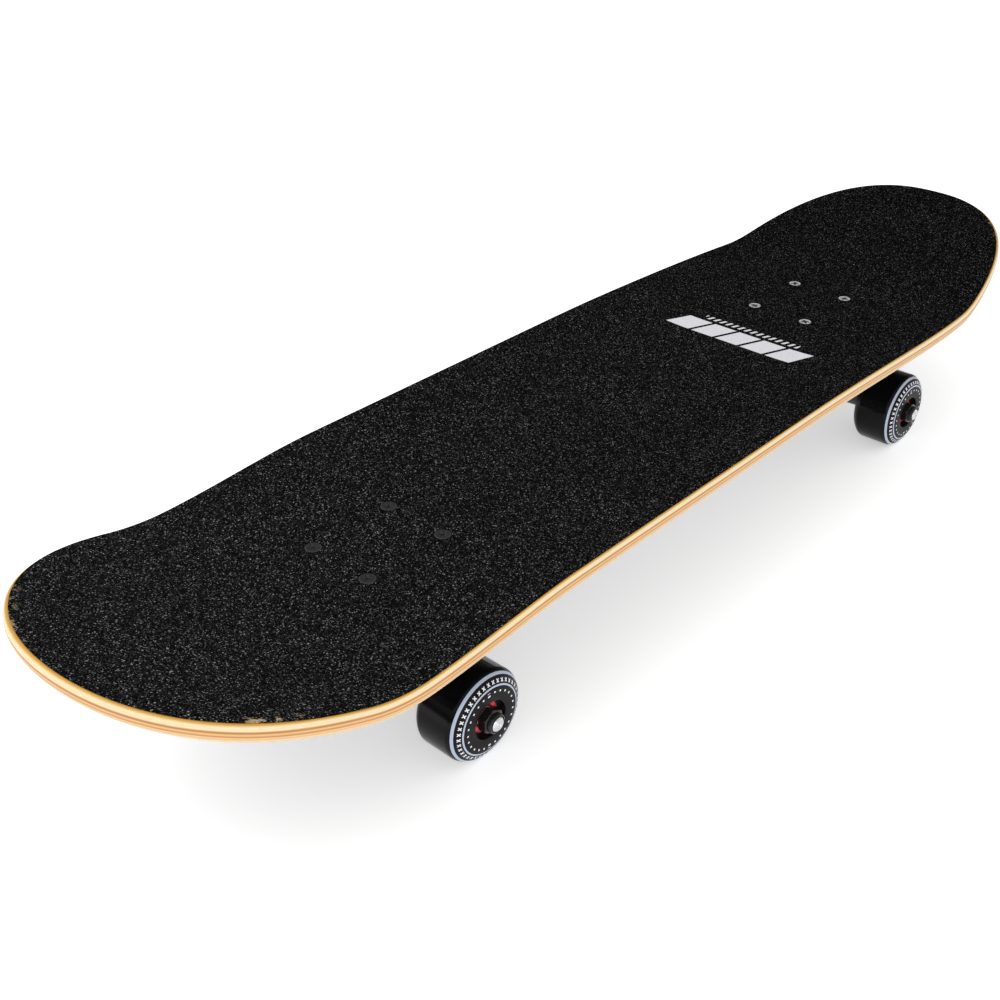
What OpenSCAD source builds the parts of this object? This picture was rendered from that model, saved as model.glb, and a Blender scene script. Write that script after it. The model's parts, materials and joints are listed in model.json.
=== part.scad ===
// Popsicle-shaped skateboard: pressed seven-ply deck, grip tape, two kingpin trucks,
// four wheels on ball bearings.
// Frame: origin on the ground below the middle of the board, +X towards the nose,
// +Y to the left, +Z up.

/* [Deck] */
// Overall width of the deck
deck_w = 206.4; // [200:0.1:212]
// Distance from the middle of the two trucks to the tip of the nose
nose_l = 406.6; // [395:0.1:415]
// Distance from the middle of the two trucks to the tip of the tail
tail_l = 401.4; // [390:0.1:410]
// Thickness of the pressed laminate
deck_t = 10.7; // [9.5:0.1:12]
// Height of the side edges above the middle of the deck
concave = 9; // [6:0.5:11]
// Half width of the flat strip along the middle of the deck
flat_half = 30; // [29:0.5:36]
// How far the rounded edge stands out past the grip tape along the sides
edge_bulge = 1.6; // [1:0.1:2]
// The same at the two tips
tip_bulge = 3.2; // [1:0.1:4]
// Thickness of the grip tape
grip_t = 0.8; // [0.6:0.1:1.2]

/* [Kicks] */
// Angle of the raised nose
nose_angle = 14; // [10:1:20]
// Angle of the raised tail
tail_angle = 17; // [10:1:20]
// Radius of the bend at the root of each kick
kick_r = 120; // [90:5:150]
// Where the nose starts to bend up, from the middle of the trucks
nose_bend = 259; // [252:1:262]
// Where the tail starts to bend up, from the middle of the trucks
tail_bend = 271.5; // [256:0.5:275]

/* [Outline] */
// Length of the parallel sides towards the nose
nose_straight = 136; // [130:1:200]
// Length of the parallel sides towards the tail
tail_straight = 257; // [240:1:290]
// Fullness of the nose's sides and of its tip
nose_full = [3.5, 2.45]; // [2:0.05:4]
// Fullness of the tail's sides and of its tip
tail_full = [3.15, 2]; // [2:0.05:4]

/* [Trucks] */
// Distance between the middles of the two bolt patterns
bolt_base = 415.93; // [400:0.1:430]
// Bolt spacing along the board
bolt_x = 53.98; // [53.5:0.01:54.5]
// Bolt spacing across the board
bolt_y = 41.28; // [41:0.01:41.5]
// Depth of the axle below the face that bolts to the deck
truck_h = 51; // [50:0.5:53]
// Length of the hanger between its two ends
hanger_l = 123; // [121:1:126]
// Length of the axle
axle_l = 192; // [192:1:194]
// Angle of the steering axis to the deck
steer_angle = 30; // [28:1:32]
// Lean of the kingpin towards the middle of the board
kingpin_lean = 22; // [21:1:23]

/* [Wheels] */
// Wheel diameter
wheel_d = 53; // [52:1:56]
// Wheel width
wheel_w = 32; // [31:0.5:33]
// Number of balls in each bearing
ball_n = 7; // [6:1:7]

/* [Hidden] */
$fn = 64;

// Heights
axle_z = wheel_d / 2;
under_z = axle_z + truck_h;         // flat middle of the deck's underside
deck_z = under_z + deck_t;          // flat middle of the deck's top
glue_t = 0.05;                      // adhesive film below the grip tape
mid_x = -(nose_l - tail_l) / 2;     // middle of the two trucks

// Deck section
grip_half = deck_w / 2 - edge_bulge;
edge_mid = 4.6;                     // depth of the widest line of the edge
edge_under = 2.4;                   // how far the underside's face stops short
nose_fade = [55, 305];              // where the concave fades towards the nose
tail_fade = [165, 275];             // where it fades towards the tail
nose_keep = 0.28;                   // share of the concave kept on the nose
tail_keep = 0.35;                   // share kept on the tail
tip_zone = [300, 395];              // where the edge widens towards the tips
spine_gap = 95;                     // the middle line stops this far from each tip
arc_step = 5;                       // degrees between outline points on the ends
side_step = 24;                     // spacing of outline points along the sides
ring_t = [0, 0.3, 0.54, 0.78, 1];   // middle line to edge, as shares of the half width

// Deck bolts
bolt_r = 2.38;
bolt_hole_r = 2.6;
bolt_head_r = 4.7;
bolt_sunk = 0.15;                   // head below the face of the grip tape
bolt_rim = 0.4;
bolt_end = 13;                      // tip below the deck's underside
deck_nut_af = 9.5;
deck_nut_h = 6;
grip_hole_r = 5;

// Truck, in its own frame: X out towards the board's end, Z up, origin on the deck's face
plate_t = 5.5;
plate_in = 37;                      // reach of the baseplate towards the middle
plate_out = 43;                     // reach towards the end of the board
plate_half = 28.5;
plate_corner = 8;
axle_out = 11.7;                    // axle's offset from the bolt pattern, outwards
pivot = [31, -12];                  // centre of the pivot tip, X and Z
seat_gap = 40;                      // pivot centre to ring centre, on the steering axis
ring_c = [pivot[0] - seat_gap * cos(steer_angle), pivot[1] - seat_gap * sin(steer_angle)];
arm_lean = 30;                      // lean of the pivot arm

// Kingpin stack, measured along the kingpin from the ring's centre, + towards the deck
ring_r = 15.5;
ring_half = 4.5;
seat_depth = 2;
kingpin_r = 4.75;
bush_r = 12;
bush_bore = 4.95;
bush_tip_r = 9.4;
board_top = 16;
road_bottom = -13.5;
washer_t = 1.5;
large_r = 13.6;
small_r = 10.4;
kp_nut_af = 14.3;
kp_nut_h = 7.5;
kingpin_end = -24.5;
head_z = 23;
head_h = 5;
head_r = 8;
boss_r = 15;

// Pivot
tip_r = 5;
tip_gap = 0.3;
neck_r = 4.4;
cup_r = 8.15;
cup_top = 6.4;
cup_low = -4.5;

// Hanger
barrel_r = 8.2;
barrel_end_r = 6.6;
axle_r = 3.97;
fit_gap = 0.03;

// Bearings, 8 x 22 x 7
bearing_r = 11;
bearing_w = 7;
bearing_bore = 4;
inner_r = 6.2;
outer_in = 8.9;
ball_r = 1.95;
pitch_r = 7.5;
race_r = 2.1;
shield_t = 0.35;
cage_w = 5;
spacer_l = 10;
spacer_r = 5.4;
speed_t = 0.8;
speed_r = 5.8;
axle_nut_af = 12.7;
axle_nut_h = 8;

// Places along the axle, from the middle
speed_in = hanger_l / 2;
stack_in = speed_in + speed_t;
stack_mid = stack_in + bearing_w + spacer_l / 2;
stack_out = stack_in + 2 * bearing_w + spacer_l;
nut_in = stack_out + speed_t;

ENDS = ["nose", "tail"];
SIDES = ["left", "right"];

// ---- Shape of the pressed deck ----

function clamp(v, lo, hi) = max(lo, min(hi, v));
function smooth(t) = t * t * (3 - 2 * t);

// Rise of a kick at a distance past its bend
function kick_rise(d, angle) =
    d <= 0 ? 0 :
    d < kick_r * sin(angle) ? kick_r - sqrt(kick_r * kick_r - d * d) :
    kick_r * (1 - cos(angle)) + (d - kick_r * sin(angle)) * tan(angle);

// Slope angle of a kick at a distance past its bend
function kick_slope(d, angle) = d <= 0 ? 0 : min(angle, asin(min(1, d / kick_r)));

// Eased share of the way through a range
function way_through(d, range) = smooth(clamp((d - range[0]) / (range[1] - range[0]), 0, 1));

// Height of the pressed surface above the flat middle; x from the middle of the trucks
function press_z(x, y) =
    let (
        d = abs(x),
        rise = x > 0 ? kick_rise(d - nose_bend, nose_angle) : kick_rise(d - tail_bend, tail_angle),
        keep = x > 0 ? nose_keep : tail_keep,
        left = 1 - (1 - keep) * way_through(d, x > 0 ? nose_fade : tail_fade),
        side = max(0, abs(y) - flat_half) / (grip_half - flat_half)
    )
    rise + concave * left * side * side;

// Vertical thickness of a layer that is t thick square to the surface
function upright(t, x) =
    t / cos(x > 0 ? kick_slope(x - nose_bend, nose_angle) : kick_slope(-x - tail_bend, tail_angle));

// Edge of the grip tape on one end: superellipse from the straight side to the tip
function end_point(a, len, straight, full) = [
    straight + (len - tip_bulge - straight) * pow(sin(a), 2 / full[0]),
    grip_half * pow(cos(a), 2 / full[1])
];
function nose_point(a) = end_point(a, nose_l, nose_straight, nose_full);
function tail_point(a) =
    let (p = end_point(a, tail_l, tail_straight, tail_full)) [-p[0], p[1]];

side_n = ceil((nose_straight + tail_straight) / side_step);
half_outline = [
    [-(tail_l - tip_bulge), 0],
    for (a = [90 - arc_step : -arc_step : arc_step]) tail_point(a),
    for (i = [0 : side_n])
        [-tail_straight + (nose_straight + tail_straight) * i / side_n, grip_half],
    for (a = [arc_step : arc_step : 90 - arc_step]) nose_point(a),
    [nose_l - tip_bulge, 0]
];
half_n = len(half_outline);
outline = concat(
    half_outline,
    [for (i = [half_n - 2 : -1 : 1]) [half_outline[i][0], -half_outline[i][1]]]
);
loop_n = len(outline);

// Outward direction of the outline at point i
function outward(i) =
    let (
        a = outline[(i + loop_n - 1) % loop_n],
        b = outline[(i + 1) % loop_n],
        d = b - a
    )
    [-d[1], d[0]] / norm(d);

function spine(p) = [clamp(p[0], spine_gap - tail_l, nose_l - spine_gap), 0];

// How far the deck's edge stands out past the grip tape at point i
function bulge(i) =
    edge_bulge + (tip_bulge - edge_bulge) * way_through(abs(outline[i][0]), tip_zone);

// One closed loop of surface points: share t of the way out, moved outwards by a share of
// the bulge less the inset, lift above the pressed surface
function ring(t, share, inset, lift) = [
    for (i = [0 : loop_n - 1])
        let (
            out = bulge(i) * share - inset,
            s = spine(outline[i]),
            p = s + (outline[i] + outward(i) * out - s) * t
        )
        [p[0] + mid_x, p[1], deck_z + press_z(p[0], p[1]) + upright(lift, p[0])]
];

// Triangles between neighbouring loops. The first and last loops lie on the middle line,
// where points meet, and loops past the turn are split along the other diagonal so that
// two layers laid on each other match.
function skin(loops, turn) = [
    for (k = [0 : len(loops) - 2], i = [0 : loop_n - 1])
        let (
            j = (i + 1) % loop_n,
            a = k * loop_n + i,
            b = k * loop_n + j,
            c = (k + 1) * loop_n + j,
            d = (k + 1) * loop_n + i,
            start = norm(loops[k][i] - loops[k][j]) < 0.001,
            end = norm(loops[k + 1][i] - loops[k + 1][j]) < 0.001
        )
        each start ? [[a, c, d]] :
             end ? [[a, b, d]] :
             k < turn ? [[a, b, c], [a, c, d]] : [[a, b, d], [b, c, d]]
];

module pressed_layer(loops, turn) {
    polyhedron(points = [for (l = loops) each l], faces = skin(loops, turn), convexity = 8);
}

edge_steps = 3;
top_loops = [for (t = ring_t) ring(t, 0, 0, 0)];
upper_edge = [
    for (k = [1 : edge_steps])
        let (a = 90 * k / edge_steps)
        ring(1, sin(a), 0, -edge_mid * (1 - cos(a)))
];
lower_edge = [
    for (k = [1 : edge_steps + 1])
        let (a = 90 * k / (edge_steps + 1))
        ring(1, cos(a), edge_under * (1 - cos(a)), -edge_mid - (deck_t - edge_mid) * sin(a))
];
under_loops = [for (k = [len(ring_t) - 2 : -1 : 0]) ring(ring_t[k], 0, edge_under, -deck_t)];

// ---- Placing ----

// Bolt pattern of one truck
module at_bolts() {
    for (x = [-1, 1], y = [-1, 1]) translate([x * bolt_x / 2, y * bolt_y / 2, 0]) children();
}

// Truck frame, origin on the deck's underside
module at_truck(end) {
    turn = end == "nose" ? 0 : 180;
    translate([mid_x, 0, under_z]) rotate([0, 0, turn]) translate([bolt_base / 2, 0, 0]) children();
}

module at_kingpin() { translate([ring_c[0], 0, ring_c[1]]) rotate([0, kingpin_lean, 0]) children(); }
module at_pivot() { translate([pivot[0], 0, pivot[1]]) rotate([0, arm_lean, 0]) children(); }
module at_axle() { translate([axle_out, 0, -truck_h]) children(); }

// Z of the children points out of the board along the axle
module out_along_axle(side) { at_axle() rotate([side * -90, 0, 0]) children(); }
module both_ways() { for (side = [-1, 1]) out_along_axle(side) children(); }

// One wheel's frame: Z out of the board, origin on the board's middle line
module at_wheel(end, side) {
    // The tail truck is turned half round, so its sides swap
    s = (side == "left" ? 1 : -1) * (end == "nose" ? 1 : -1);
    at_truck(end) out_along_axle(s) children();
}

module tube(r_out, r_in, h) {
    difference() {
        cylinder(r = r_out, h = h);
        translate([0, 0, -1]) cylinder(r = r_in, h = h + 2);
    }
}

module hex(af, h) { cylinder(d = af / cos(30), h = h, $fn = 6); }

// Hexagon nut with a locking collar, standing on z = 0
module lock_nut(af, h, bore) {
    collar = h * 0.3;
    difference() {
        union() {
            intersection() {
                hex(af, h - collar);
                translate([0, 0, -0.01]) cylinder(r1 = af / 2, r2 = af / 2 + 2.4, h = 2.4);
            }
            intersection() {
                translate([0, 0, 2]) hex(af, h - collar - 2);
                cylinder(r1 = af / 2 + 1.9, r2 = af / 2 - 0.1, h = h - collar + 1.2);
            }
            cylinder(r = af * 0.44, h = h - 0.5);
            translate([0, 0, h - 0.5]) cylinder(r1 = af * 0.44, r2 = af * 0.44 - 0.5, h = 0.5);
        }
        translate([0, 0, -1]) cylinder(r = bore, h = h + 2);
    }
}

// ---- Deck ----

module deck() {
    color("burlywood") difference() {
        pressed_layer(concat(top_loops, upper_edge, lower_edge, under_loops), len(ring_t) + edge_steps);
        for (end = ENDS) at_truck(end) at_bolts() {
            translate([0, 0, -1]) cylinder(r = bolt_hole_r, h = deck_t + 2);
            translate([0, 0, deck_t - 2]) cylinder(r1 = bolt_hole_r, r2 = bolt_hole_r + 2.5, h = 2.5);
        }
    }
}

module grip_tape() {
    n = len(ring_t);
    loops = concat(
        [for (t = ring_t) ring(t, 0, 0, grip_t)],
        [for (k = [n - 1 : -1 : 0]) ring(ring_t[k], 0, 0, glue_t)]
    );
    color([0.09, 0.09, 0.09]) difference() {
        pressed_layer(loops, n);
        for (end = ENDS) at_truck(end) at_bolts()
            translate([0, 0, deck_t - 1]) cylinder(r = grip_hole_r, h = grip_t + 2);
    }
}

// Countersunk cross-head bolt, its tip below the deck's underside
module deck_bolt() {
    top = deck_t + grip_t - bolt_sunk;
    cone = bolt_head_r - bolt_r;
    difference() {
        union() {
            translate([0, 0, -bolt_end + 0.6]) cylinder(r = bolt_r, h = top + bolt_end - 1.6);
            translate([0, 0, -bolt_end]) cylinder(r1 = bolt_r - 0.6, r2 = bolt_r, h = 0.6);
            translate([0, 0, top - bolt_rim - cone]) cylinder(r1 = bolt_r, r2 = bolt_head_r, h = cone);
            translate([0, 0, top - bolt_rim]) cylinder(r = bolt_head_r, h = bolt_rim);
        }
        for (a = [0, 90]) rotate([0, 0, a + 45])
            translate([-2.6, -0.55, top - 1.8]) cube([5.2, 1.1, 3]);
    }
}

module deck_bolts(end) {
    color(end == "nose" ? "silver" : "dimgray") at_truck(end) at_bolts() deck_bolt();
}

module deck_nuts(end) {
    color("silver") at_truck(end) at_bolts()
        translate([0, 0, -plate_t]) mirror([0, 0, 1]) lock_nut(deck_nut_af, deck_nut_h, bolt_r + fit_gap);
}

// ---- Trucks ----

module plate_outline() {
    lx = plate_in + plate_out;
    translate([-plate_in, -plate_half]) {
        translate([plate_corner, 0]) square([lx - 2 * plate_corner, 2 * plate_half]);
        translate([0, plate_corner]) square([lx, 2 * (plate_half - plate_corner)]);
        for (x = [plate_corner, lx - plate_corner], y = [plate_corner, 2 * plate_half - plate_corner])
            translate([x, y]) circle(r = plate_corner);
    }
}

module below_deck() { translate([-80, -80, -60]) cube([80 + plate_out, 160, 60]); }

module baseplate(end) {
    seat = board_top + washer_t;
    color("dimgray") at_truck(end) difference() {
        union() {
            translate([0, 0, -plate_t]) linear_extrude(plate_t) plate_outline();
            intersection() {
                below_deck();
                union() {
                    at_kingpin() translate([0, 0, seat]) cylinder(r = boss_r, h = 30);
                    at_pivot() translate([0, 0, cup_low + 0.5]) cylinder(r = cup_r + 2.2, h = 30);
                    translate([12, -7, -11]) cube([18, 14, 9]);
                }
            }
        }
        at_bolts() translate([0, 0, -plate_t - 1]) cylinder(r = bolt_hole_r + 0.1, h = plate_t + 2);
        at_kingpin() {
            translate([0, 0, seat - 1]) cylinder(r = kingpin_r + fit_gap, h = 20);
            translate([0, 0, head_z]) cylinder(r = head_r + 0.2, h = 30);
        }
        at_pivot() translate([0, 0, cup_low - 6]) cylinder(r = cup_r + fit_gap, h = cup_top - cup_low + 6.05);
    }
}

module pivot_cup(end) {
    hollow = tip_r + tip_gap;
    color("black") at_truck(end) at_pivot() difference() {
        translate([0, 0, cup_low]) cylinder(r = cup_r, h = cup_top - cup_low);
        sphere(r = hollow);
        translate([0, 0, cup_low - 0.5]) cylinder(r1 = hollow + 1.4, r2 = hollow - 0.05, h = -cup_low + 0.5);
    }
}

module kingpin(end) {
    color("darkgray") at_truck(end) at_kingpin() {
        translate([0, 0, kingpin_end + 0.8]) cylinder(r = kingpin_r, h = head_z - kingpin_end);
        translate([0, 0, kingpin_end]) cylinder(r1 = kingpin_r - 0.8, r2 = kingpin_r, h = 0.8);
        translate([0, 0, head_z + 0.02]) cylinder(r = head_r, h = head_h);
    }
}

module kingpin_nut(end) {
    color("silver") at_truck(end) at_kingpin()
        translate([0, 0, road_bottom - washer_t]) mirror([0, 0, 1])
            lock_nut(kp_nut_af, kp_nut_h, kingpin_r + fit_gap);
}

// Cupped washer: lip towards +Z
module cup_washer(r, lip) {
    rotate_extrude() difference() {
        translate([kingpin_r + 0.15, 0]) square([r - kingpin_r - 0.15, washer_t + lip]);
        translate([0, washer_t]) square([r - 1, lip + 1]);
    }
}

module washer_large(end) {
    color("silver") at_truck(end) at_kingpin()
        translate([0, 0, board_top + washer_t]) mirror([0, 0, 1]) cup_washer(large_r, 1.2);
}

module washer_small(end) {
    color("silver") at_truck(end) at_kingpin()
        translate([0, 0, road_bottom - washer_t]) cup_washer(small_r + 0.4, 0.8);
}

// Round bushing from z = 0 to h, with eased corners
module bushing(r0, r1, h) {
    ease = 1.2;
    rotate_extrude() polygon([
        [bush_bore, 0], [r0 - ease, 0], [r0, ease], [r1, h - ease], [r1 - ease, h], [bush_bore, h]
    ]);
}

module bushing_board(end) {
    low = ring_half - seat_depth;
    color([0.12, 0.12, 0.12]) at_truck(end) at_kingpin()
        translate([0, 0, low]) bushing(bush_r, bush_r, board_top - low);
}

module bushing_road(end) {
    high = ring_half - seat_depth;
    color([0.12, 0.12, 0.12]) at_truck(end) at_kingpin()
        translate([0, 0, -high]) mirror([0, 0, 1]) bushing(bush_r, bush_tip_r, -road_bottom - high);
}

// Round bar along the axle, centred on the board
module axle_bar(r, l) { at_axle() rotate([90, 0, 0]) cylinder(r = r, h = l, center = true); }

module hanger(end) {
    half = hanger_l / 2;
    seat = ring_half - seat_depth;
    color("dimgray") at_truck(end) difference() {
        union() {
            at_axle() rotate([90, 0, 0]) rotate_extrude() polygon([
                [0, -half], [barrel_end_r, -half], [barrel_end_r, 6 - half], [7.4, 8 - half],
                [barrel_r, -30], [barrel_r, 30], [7.4, half - 8], [barrel_end_r, half - 6],
                [barrel_end_r, half], [0, half]
            ]);
            hull() {
                at_kingpin() cylinder(r = ring_r, h = 2 * ring_half, center = true, $fn = 32);
                axle_bar(barrel_r - 0.6, 58, $fn = 32);
            }
            hull() {
                at_pivot() translate([0, 0, -35]) cylinder(r = 7.8, h = 8, $fn = 32);
                axle_bar(barrel_r - 0.6, 34, $fn = 32);
            }
            at_pivot() {
                translate([0, 0, -30]) cylinder(r1 = 7.6, r2 = neck_r, h = 26);
                translate([0, 0, -5]) cylinder(r = neck_r, h = 5);
                sphere(r = tip_r);
            }
        }
        axle_bar(axle_r + fit_gap, hanger_l + 2);
        at_kingpin() {
            cylinder(r = 8, h = 20, center = true);
            translate([0, 0, seat]) cylinder(r = bush_r + 0.4, h = seat_depth + 0.5);
            translate([0, 0, ring_half]) cylinder(r = 13.2, h = 20);
            translate([0, 0, -seat - seat_depth - 0.5]) cylinder(r = bush_r + 0.4, h = seat_depth + 0.5);
            translate([0, 0, -ring_half - 26]) cylinder(r = 12.6, h = 26);
        }
    }
}

module axle(end) {
    color("silver") at_truck(end) at_axle() rotate([90, 0, 0]) rotate_extrude() polygon([
        [0, -axle_l / 2], [axle_r - 0.8, -axle_l / 2], [axle_r, 0.8 - axle_l / 2],
        [axle_r, axle_l / 2 - 0.8], [axle_r - 0.8, axle_l / 2], [0, axle_l / 2]
    ]);
}

module axle_nuts(end) {
    color([0.1, 0.1, 0.1]) at_truck(end) both_ways()
        translate([0, 0, nut_in]) lock_nut(axle_nut_af, axle_nut_h, axle_r + fit_gap);
}

module speed_washers(end) {
    color("silver") at_truck(end) both_ways() for (z = [speed_in, stack_out])
        translate([0, 0, z]) tube(speed_r, axle_r + 0.1, speed_t);
}

module bearing_spacers(end) {
    color("silver") at_truck(end) both_ways()
        translate([0, 0, stack_in + bearing_w]) tube(spacer_r, axle_r + 0.1, spacer_l);
}

// ---- Bearings and wheels ----

// The two bearings of one wheel, their middles on z = 0 of the children
module at_bearings() {
    for (side = [-1, 1])
        translate([0, 0, stack_mid + side * (spacer_l + bearing_w) / 2]) children();
}

// Ring with a ball groove
module race(r_in, r_out) {
    rotate_extrude() difference() {
        translate([r_in, -bearing_w / 2]) square([r_out - r_in, bearing_w]);
        translate([pitch_r, 0]) circle(r = race_r, $fn = 48);
    }
}

module inner_rings(end) {
    color("silver") at_truck(end) both_ways() at_bearings() race(bearing_bore, inner_r);
}

module outer_rings(end, side) {
    color("silver") at_wheel(end, side) at_bearings() race(outer_in, bearing_r);
}

module shields(end, side) {
    out = bearing_w / 2 - 0.15;
    color("red") at_wheel(end, side) at_bearings() for (s = [0, 1]) mirror([0, 0, s])
        translate([0, 0, out - shield_t]) tube(outer_in - 0.02, inner_r + 0.3, shield_t);
}

module at_balls() {
    for (k = [0 : ball_n - 1]) rotate([0, 0, 360 * k / ball_n]) translate([pitch_r, 0, 0]) children();
}

module balls(end, side) {
    color("silver") at_wheel(end, side) at_bearings() at_balls() sphere(r = ball_r, $fn = 32);
}

module cages(end, side) {
    color("goldenrod") at_wheel(end, side) at_bearings() difference() {
        translate([0, 0, -cage_w / 2]) tube(8.3, 6.7, cage_w);
        at_balls() rotate([0, 90, 0]) cylinder(r = ball_r + 0.1, h = 4, center = true, $fn = 32);
    }
}

// The sides are flat round the bearings and round down to the tread
module wheel(end, side) {
    r = wheel_d / 2;
    h = wheel_w / 2;
    flat_r = 17;                     // where the flat of the side ends
    shoulder = 7.1;                  // the tread starts this far below the flat
    full = 1.7;                      // fullness of the curve between them
    seat = bearing_r + 0.02;
    flange = spacer_l / 2;
    function half_side(s) = [
        [seat, s * flange], [seat, s * (h - 0.3)], [seat + 0.3, s * h],
        for (a = [0 : 10 : 90])
            [flat_r + (r - flat_r) * pow(sin(a), 2 / full),
             s * (h - shoulder * (1 - pow(cos(a), 2 / full)))]
    ];
    top = half_side(1);
    low = half_side(-1);
    n = len(top);
    color([0.08, 0.08, 0.08]) at_wheel(end, side) translate([0, 0, stack_mid])
        rotate_extrude($fn = 96) polygon(concat(
            [[9.6, flange]], top, [for (k = [n - 1 : -1 : 0]) low[k]], [[9.6, -flange]]
        ));
}

deck();
grip_tape();
deck_bolts("nose");  // deck_bolts_nose
deck_bolts("tail");  // deck_bolts_tail
deck_nuts("nose");  // deck_nuts_nose
deck_nuts("tail");  // deck_nuts_tail
baseplate("nose");  // baseplate_nose
pivot_cup("nose");  // pivot_cup_nose
kingpin("nose");  // kingpin_nose
kingpin_nut("nose");  // kingpin_nut_nose
washer_large("nose");  // washer_large_nose
washer_small("nose");  // washer_small_nose
bushing_board("nose");  // bushing_board_nose
bushing_road("nose");  // bushing_road_nose
hanger("nose");  // hanger_nose
axle("nose");  // axle_nose
axle_nuts("nose");  // axle_nuts_nose
speed_washers("nose");  // speed_washers_nose
bearing_spacers("nose");  // bearing_spacers_nose
inner_rings("nose");  // inner_rings_nose
baseplate("tail");  // baseplate_tail
pivot_cup("tail");  // pivot_cup_tail
kingpin("tail");  // kingpin_tail
kingpin_nut("tail");  // kingpin_nut_tail
washer_large("tail");  // washer_large_tail
washer_small("tail");  // washer_small_tail
bushing_board("tail");  // bushing_board_tail
bushing_road("tail");  // bushing_road_tail
hanger("tail");  // hanger_tail
axle("tail");  // axle_tail
axle_nuts("tail");  // axle_nuts_tail
speed_washers("tail");  // speed_washers_tail
bearing_spacers("tail");  // bearing_spacers_tail
inner_rings("tail");  // inner_rings_tail
wheel("nose", "left");  // wheel_nose_left
outer_rings("nose", "left");  // outer_rings_nose_left
shields("nose", "left");  // shields_nose_left
balls("nose", "left");  // balls_nose_left
cages("nose", "left");  // cages_nose_left
wheel("nose", "right");  // wheel_nose_right
outer_rings("nose", "right");  // outer_rings_nose_right
shields("nose", "right");  // shields_nose_right
balls("nose", "right");  // balls_nose_right
cages("nose", "right");  // cages_nose_right
wheel("tail", "left");  // wheel_tail_left
outer_rings("tail", "left");  // outer_rings_tail_left
shields("tail", "left");  // shields_tail_left
balls("tail", "left");  // balls_tail_left
cages("tail", "left");  // cages_tail_left
wheel("tail", "right");  // wheel_tail_right
outer_rings("tail", "right");  // outer_rings_tail_right
shields("tail", "right");  // shields_tail_right
balls("tail", "right");  // balls_tail_right
cages("tail", "right");  // cages_tail_right
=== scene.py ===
"""A popsicle-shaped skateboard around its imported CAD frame, on a plain pale floor."""

import json
import math

import bmesh
import bpy
import numpy as np
from mathutils import Matrix, Vector


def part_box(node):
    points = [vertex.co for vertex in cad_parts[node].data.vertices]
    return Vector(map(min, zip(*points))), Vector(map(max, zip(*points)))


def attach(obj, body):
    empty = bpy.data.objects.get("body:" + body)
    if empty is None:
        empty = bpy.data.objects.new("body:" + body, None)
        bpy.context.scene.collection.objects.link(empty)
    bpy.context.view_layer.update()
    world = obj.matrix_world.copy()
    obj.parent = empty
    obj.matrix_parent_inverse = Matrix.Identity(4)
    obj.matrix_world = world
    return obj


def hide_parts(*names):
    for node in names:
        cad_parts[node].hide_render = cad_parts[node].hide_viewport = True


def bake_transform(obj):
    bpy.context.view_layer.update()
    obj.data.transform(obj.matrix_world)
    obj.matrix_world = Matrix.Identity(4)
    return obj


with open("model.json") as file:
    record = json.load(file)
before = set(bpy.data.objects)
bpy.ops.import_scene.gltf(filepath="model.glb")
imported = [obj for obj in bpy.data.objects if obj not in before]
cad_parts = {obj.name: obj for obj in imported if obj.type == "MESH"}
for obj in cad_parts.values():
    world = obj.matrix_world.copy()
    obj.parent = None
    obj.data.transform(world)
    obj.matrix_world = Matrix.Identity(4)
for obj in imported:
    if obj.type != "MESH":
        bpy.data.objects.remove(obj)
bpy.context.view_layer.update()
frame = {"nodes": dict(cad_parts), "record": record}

MM = 0.001
NODES = frame["nodes"]
ENDS = ("nose", "tail")
SIDES = ("left", "right")
WAY = {"nose": 1, "tail": -1}       # of each end along X
TAU = 2 * math.pi

# ---- Sizes in millimetres, as in the CAD model ----

DECK_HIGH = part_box("deck")[1] / MM
GRIP_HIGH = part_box("grip_tape")[1] / MM
EDGE_BULGE = DECK_HIGH.y - GRIP_HIGH.y      # how far the deck's edge passes the grip tape at the sides
TIP_BULGE = DECK_HIGH.x - GRIP_HIGH.x       # and at the tips
TIP_ZONE = (300.0, 395.0)                   # where it widens
GRIP_HALF = GRIP_HIGH.y                     # half width of the grip tape
DECK_T = 10.7                               # thickness of the laminate
GRIP_T = 0.8
GLUE_T = 0.05                               # between the deck and the tape
CONCAVE = 9.0                               # rise of the side edges
FLAT_HALF = 30.0                            # half width of the flat middle
KICK_R = 120.0                              # bend at the root of each kick
EDGE_MID = 4.6                              # depth of the edge's widest line
EDGE_UNDER = 2.4                            # the underside's face stops this far short
GRIP_EASE = 0.25                            # chamfer of the tape's top edge
SPINE_GAP = 95.0                            # the loops of points shrink to a line this far from the tips
BOLT_BASE = 415.93                          # between the middles of the two bolt patterns
BOLT_X = 53.98                              # pattern along the board
BOLT_Y = 41.28                              # and across it
BOLT_SUNK = 0.15                            # head below the top of the tape
BOLT_HEAD_R = 4.7
BOLT_R = 2.38
BOLT_ROOM = 0.22                            # the deck's holes are wider than the shank by this radius
BOLT_END = 13.0                             # shank below the deck
GRIP_HOLE_R = 5.0

# Each end, measured from the middle of the trucks: reach of the tip, end of the straight side, the two
# exponents of its curve, start and angle of the kick, and where the concave fades and the share it keeps
NOSE = {
    "reach": 406.6, "straight": 136.0, "full": (3.5, 2.45),
    "bend": 259.0, "angle": 14.0, "fade": (55.0, 305.0), "keep": 0.28,
}
TAIL = {
    "reach": 401.4, "straight": 257.0, "full": (3.15, 2.0),
    "bend": 271.5, "angle": 17.0, "fade": (165.0, 275.0), "keep": 0.35,
}
MID_X = -(NOSE["reach"] - TAIL["reach"]) / 2    # middle of the two trucks
WHEEL_R = 26.5
TRUCK_H = 51.0
UNDER_Z = WHEEL_R + TRUCK_H                     # flat middle of the deck's underside
DECK_Z = UNDER_Z + DECK_T

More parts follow.
